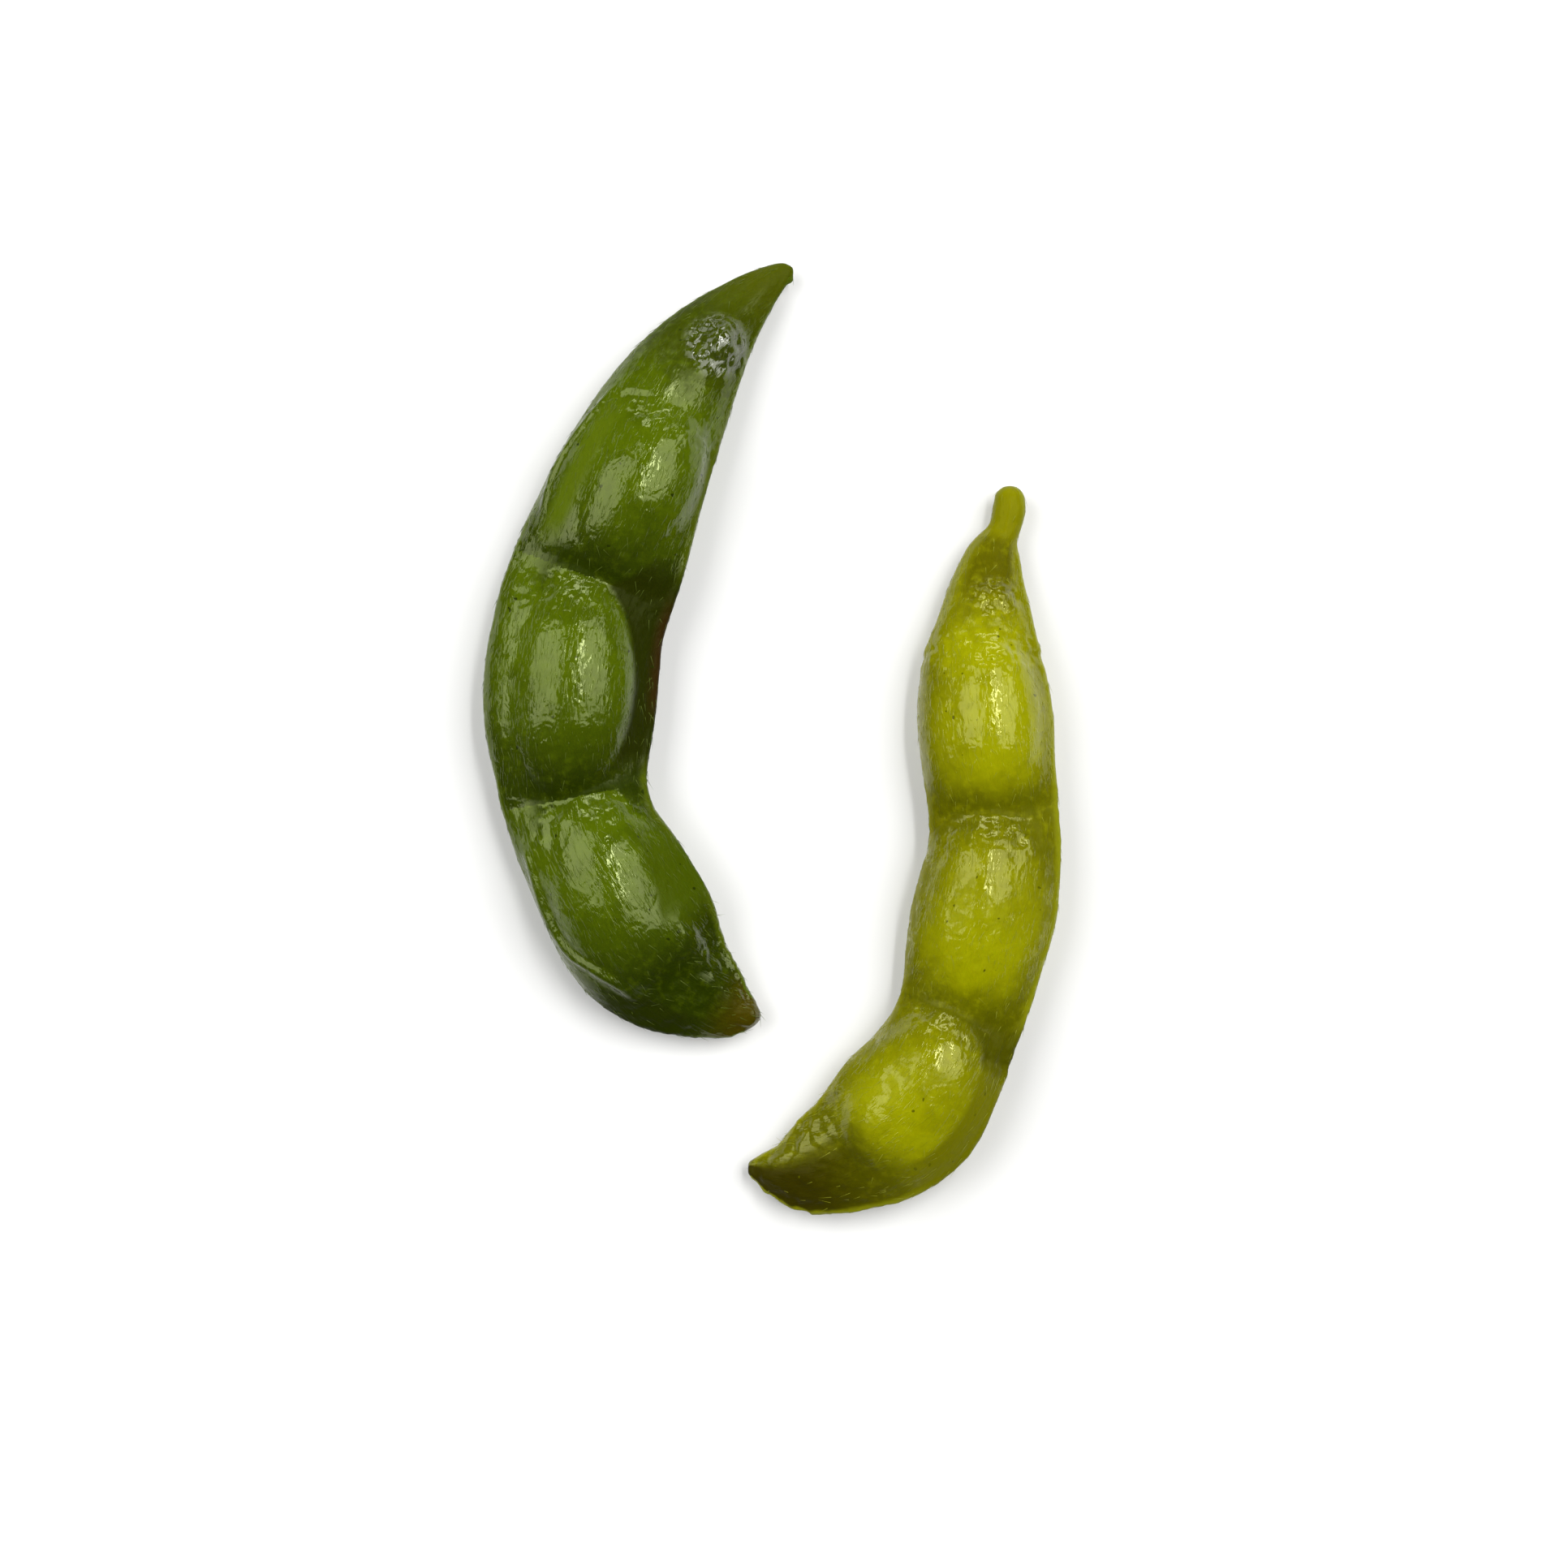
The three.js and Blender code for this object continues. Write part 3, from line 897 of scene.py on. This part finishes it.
def skin_finish(name, tones):
    """A pod's skin, by its own tones."""
    skin = bpy.data.materials.new(name)
    skin.use_nodes = True
    tree = skin.node_tree
    marks = find_marks(tree, tones)
    dull = skin_dullness(tree, marks, tones)
    roughness = spread(tree, dull, WET_ROUGHNESS, DULL_ROUGHNESS, clamp=True)
    gloss = spread(tree, dull, tones["wetness"], DULL_GLOSS, clamp=False)
    gloss_tint = tint(tree, marks.knob, tones["gloss"], tones["knob_gloss"])
    paint = tree.nodes["Principled BSDF"]
    tree.links.new(skin_green(tree, marks, tones), paint.inputs["Base Color"])
    tree.links.new(skin_relief(tree, marks), paint.inputs["Normal"])
    tree.links.new(roughness, paint.inputs["Roughness"])
    tree.links.new(gloss, paint.inputs["Specular IOR Level"])
    tree.links.new(gloss_tint, paint.inputs["Specular Tint"])
    paint.inputs["IOR"].default_value = SKIN_IOR
    paint.inputs["Subsurface Weight"].default_value = GLOW_THROUGH
    paint.inputs["Subsurface Radius"].default_value = GLOW_COLOURS
    paint.inputs["Subsurface Scale"].default_value = GLOW_DEPTH
    return skin


DARK_TONES = {
    # the colours of the skin over the beans; in the creases, partly their darker skin and partly
    # painted shade, also laid on fibres and specks; of painted shade, also laid on olive blotches;
    # in flecks, on the neck, on the stalk, on the beak and on both seams
    "bean": colour(73, 90, 1),
    "dark_skin_and_crease_shade": colour(35, 46, 1),
    "shade": colour(36, 47, 1),
    "fleck": colour(98, 116, 6),
    "neck": colour(54, 64, 1),
    "stalk": colour(69, 76, 3),
    "beak": colour(64, 56, 2),
    "right_seam": colour(72, 84, 8),
    "left_seam": colour(70, 84, 8),
    # the colours of the gloss, and of the gloss on the knob
    "gloss": (0.9, 1.0, 0.48, 1),
    "knob_gloss": (1.0, 1.0, 0.95, 1),
    # the heights up a bean and the places across the pod between which the skin slackens, where the
    # creases' colour and painted shade come in, and how much of that the upper rims, which face the
    # light, are spared
    "crease_shade_rise": (0.8, 0.15),
    "slack_side": (-0.85, -0.3),
    "rim_lightness": 0.75,
    # where along the pod the neck ends, where its own tint starts, ends and fades, how far aside of
    # the middle that reaches, and the side that it is dull on
    "neck_reach": (0.24, 0.32),
    "neck_band": (-0.1, 0.22, 0.08),
    "neck_width": (2.0, 1.5),
    "dull_neck_side": (0.45, 0.05),
    # where down a bean the painted shade of its lower side starts, how deep that is, how far the
    # later beans' upper halves are darkened, and the painted shade of the flanks, by the square of
    # the place across
    "shade_from": -0.3,
    "shade_depth": 0.9,
    "upper_depth": 0.0,
    "flank_squared": (0.5, 1.0),
    "flank_depth": 0.5,
    # where the stalk ends and the beak starts, along the pod and for the beak also across it
    "stalk_reach": (0.12, 0.02),
    "beak_reach": (0.95, 1.0),
    "beak_side": (-2, -1.5),
    # the side of the beak that is wet, and where across the pod that starts
    "wet_beak": (1, 0.2, 0.5),
    # how strong the gloss is, how dull the dry scraps are beyond the first bean, and how much wetter
    # the upper rims are there
    "wetness": 0.47,
    "dryness": 0.2,
    "rim_wetness": 0.0,
    "browned": [
        # where the husk is dulled and tinted, with browning in places and painted shade in others:
        # start and end along the pod, the side, the inner and outer edge across it, how far into the
        # beans' footprints it reaches, and the colour
        (0.22, 0.42, -1, 0.45, 0.85, 1.0, colour(78, 94, 6)),
        (0.2, 0.34, 1, 0.82, 1.2, 1.0, colour(76, 88, 8)),
        # partly the seam's own dark brown and partly painted shade in the hollow beside the second
        # bean
        (0.36, 0.67, 1, 0.12, 1.2, 0.02, colour(35, 41, 2)),
        (0.4, 0.6, 1, 0.82, 1.2, 0.02, colour(48, 34, 8)),
        (0.74, 0.88, 1, 0.25, 1.2, 0.45, colour(62, 76, 2)),
        # painted shade on the flange below the lower left fold, by the beak
        (0.84, 0.99, -1, 0.42, 1.2, 0.02, colour(34, 42, 2)),
    ],
}
LIGHT_TONES = {
    # as the dark pod's tones
    "bean": colour(141, 143, 1),
    "dark_skin_and_crease_shade": colour(84, 86, 1),
    "shade": colour(96, 96, 1),
    "fleck": colour(166, 168, 12),
    "neck": colour(84, 82, 1),
    "stalk": colour(119, 118, 1),
    "beak": colour(50, 46, 1),
    "right_seam": colour(124, 126, 12),
    "left_seam": colour(118, 118, 4),
    "gloss": (1.0, 1.0, 0.43, 1),
    "knob_gloss": (0.75, 0.75, 0.25, 1),
    "crease_shade_rise": (0.85, 0.3),
    "slack_side": (-2, -1.5),
    "rim_lightness": 0.1,
    "neck_reach": (0.2, 0.26),
    "neck_band": (-0.05, 0.2, 0.1),
    "neck_width": (1.0, 0.5),
    "dull_neck_side": (2, 1.5),
    "shade_from": 0.5,
    "shade_depth": 0.38,
    "upper_depth": 0.42,
    "flank_squared": (0.2, 0.95),
    "flank_depth": 0.75,
    "stalk_reach": (0.065, 0.045),
    "beak_reach": (0.8, 0.95),
    "beak_side": (-0.6, 0.0),
    "wet_beak": (-1, 0.3, 0.5),
    "wetness": 0.45,
    "dryness": 0.95,
    "rim_wetness": 0.7,
    "browned": [
        (0.62, 0.73, 1, -0.2, 1.3, 0.15, colour(70, 71, 1)),
        # painted shade on the third bean's lower right flank
        (0.68, 0.86, 1, 0.2, 1.2, 0.2, colour(104, 104, 2)),
    ],
}

for pod, finish_name, pod_tones in (
    (dark_pod, "dark_green_pod_skin", DARK_TONES),
    (light_pod, "yellow_green_pod_skin", LIGHT_TONES),
):
    pod.data.materials.clear()
    pod.data.materials.append(skin_finish(finish_name, pod_tones))


# ---- The pods' hairs ---------------------------------------------------------------------------
# Short soft hairs that lie along the skin and point to the beak, thickest along the seams. One hair
# is modelled and copied with its length and lean changed.

HAIR_SIDES = 3
HAIR_THICKNESS = 0.025  # in mm, as are the lengths and the height
HAIR_LENGTHS = (0.45, 1.1)
LOWEST_HAIR = 0.5
HAIRS_STRAY = 0.35  # in radians, as is the lift
HAIRS_LIFT = 0.22
THINNEST_CROWD = 0.3  # the share of hairs that the pod's middle keeps, by the seams' full crowd
CROWDING = 4  # the power by which they crowd to the seams
DARK_HAIRS = 1200
LIGHT_HAIRS = 800

PALE_HAIR = (170, 180, 110)
PALE_SHARE = 0.25
HAIR_NOISE = 900
HAIR_NOISE_DETAIL = 2
HAIR_ROUGHNESS = 0.4
HAIR_GLOSS = 0.2
HAIR_GLOSS_TINT = (0.86, 1.0, 0.5, 1)


def one_hair():
    """A unit hair that stands on its root: a thin closed spike."""
    bpy.ops.object.select_all(action="DESELECT")
    bpy.ops.mesh.primitive_cone_add(vertices=HAIR_SIDES, radius1=1, depth=1, location=(0, 0, 0.5))
    hair = bpy.context.object
    bpy.ops.object.transform_apply()
    return hair


def lay_hair(model, face, forward, pick):
    """A copy of the model hair, rooted in a face of the skin and laid along it."""
    forward.rotate(Matrix.Rotation(pick.gauss(0, HAIRS_STRAY), 3, "Z"))
    along_skin = (forward - face.normal * forward.dot(face.normal)).normalized()
    lean = pick.uniform(0.0, HAIRS_LIFT)
    axis = along_skin * math.cos(lean) + face.normal * math.sin(lean)
    side = axis.cross(face.normal).normalized()
    length = pick.uniform(*HAIR_LENGTHS) * MM
    thick_one_way = side * HAIR_THICKNESS * MM
    thick_other_way = axis.cross(side) * HAIR_THICKNESS * MM
    turn = Matrix((thick_one_way, thick_other_way, axis * length)).transposed().to_4x4()
    hair = model.copy()
    hair.data = model.data.copy()
    hair.data.transform(Matrix.Translation(face.center) @ turn)
    bpy.context.collection.objects.link(hair)
    return hair


def hair_finish(name, hair_colour):
    """Soft pale hairs, some paler than others."""
    down = bpy.data.materials.new(name)
    down.use_nodes = True
    tree = down.node_tree
    places = add_node(tree, "ShaderNodeTexCoord").outputs["Object"]
    shades = mottle(tree, places, (1, 1, 1), HAIR_NOISE, HAIR_NOISE_DETAIL)
    paler = tint(tree, times(tree, shades, PALE_SHARE), hair_colour, colour(*PALE_HAIR))
    strand = tree.nodes["Principled BSDF"]
    tree.links.new(paler, strand.inputs["Base Color"])
    strand.inputs["Roughness"].default_value = HAIR_ROUGHNESS
    strand.inputs["Specular IOR Level"].default_value = HAIR_GLOSS
    strand.inputs["Specular Tint"].default_value = HAIR_GLOSS_TINT
    return down


def grow_hairs(name, skin, course, count, hair_colour, seed):
    """A pod's coat of hairs, on faces picked by chance, as one piece."""
    pick = random.Random(seed)
    across = skin.data.attributes["across"].data
    stations = [Vector((row[0] * MM, row[1] * MM, 0)) for row in course]
    model = one_hair()
    hairs = []
    while len(hairs) < count:
        face = pick.choice(skin.data.polygons)
        aside = abs(across[face.vertices[0]].value)
        crowd = THINNEST_CROWD + (1 - THINNEST_CROWD) * aside**CROWDING
        if face.center.z < LOWEST_HAIR * MM or pick.random() > crowd:
            continue
        distances = [(station - face.center).xy.length for station in stations[:-1]]
        number = distances.index(min(distances))
        forward = stations[number + 1] - stations[number]
        hairs.append(lay_hair(model, face, forward, pick))
    bpy.data.objects.remove(model)
    bpy.ops.object.select_all(action="DESELECT")
    for hair in hairs:
        hair.select_set(True)
    bpy.context.view_layer.objects.active = hairs[0]
    bpy.ops.object.join()
    coat = bpy.context.object
    coat.name = name
    coat.data.materials.clear()
    coat.data.materials.append(hair_finish(name, hair_colour))
    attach(coat, "root")
    return coat


dark_down = colour(66, 82, 6)
dark_hairs = grow_hairs("dark_pod_hairs", dark_pod, DARK_COURSE, DARK_HAIRS, dark_down, seed=3)
light_down = colour(134, 135, 8)
light_hairs = grow_hairs("light_pod_hairs", light_pod, LIGHT_COURSE, LIGHT_HAIRS, light_down, seed=4)
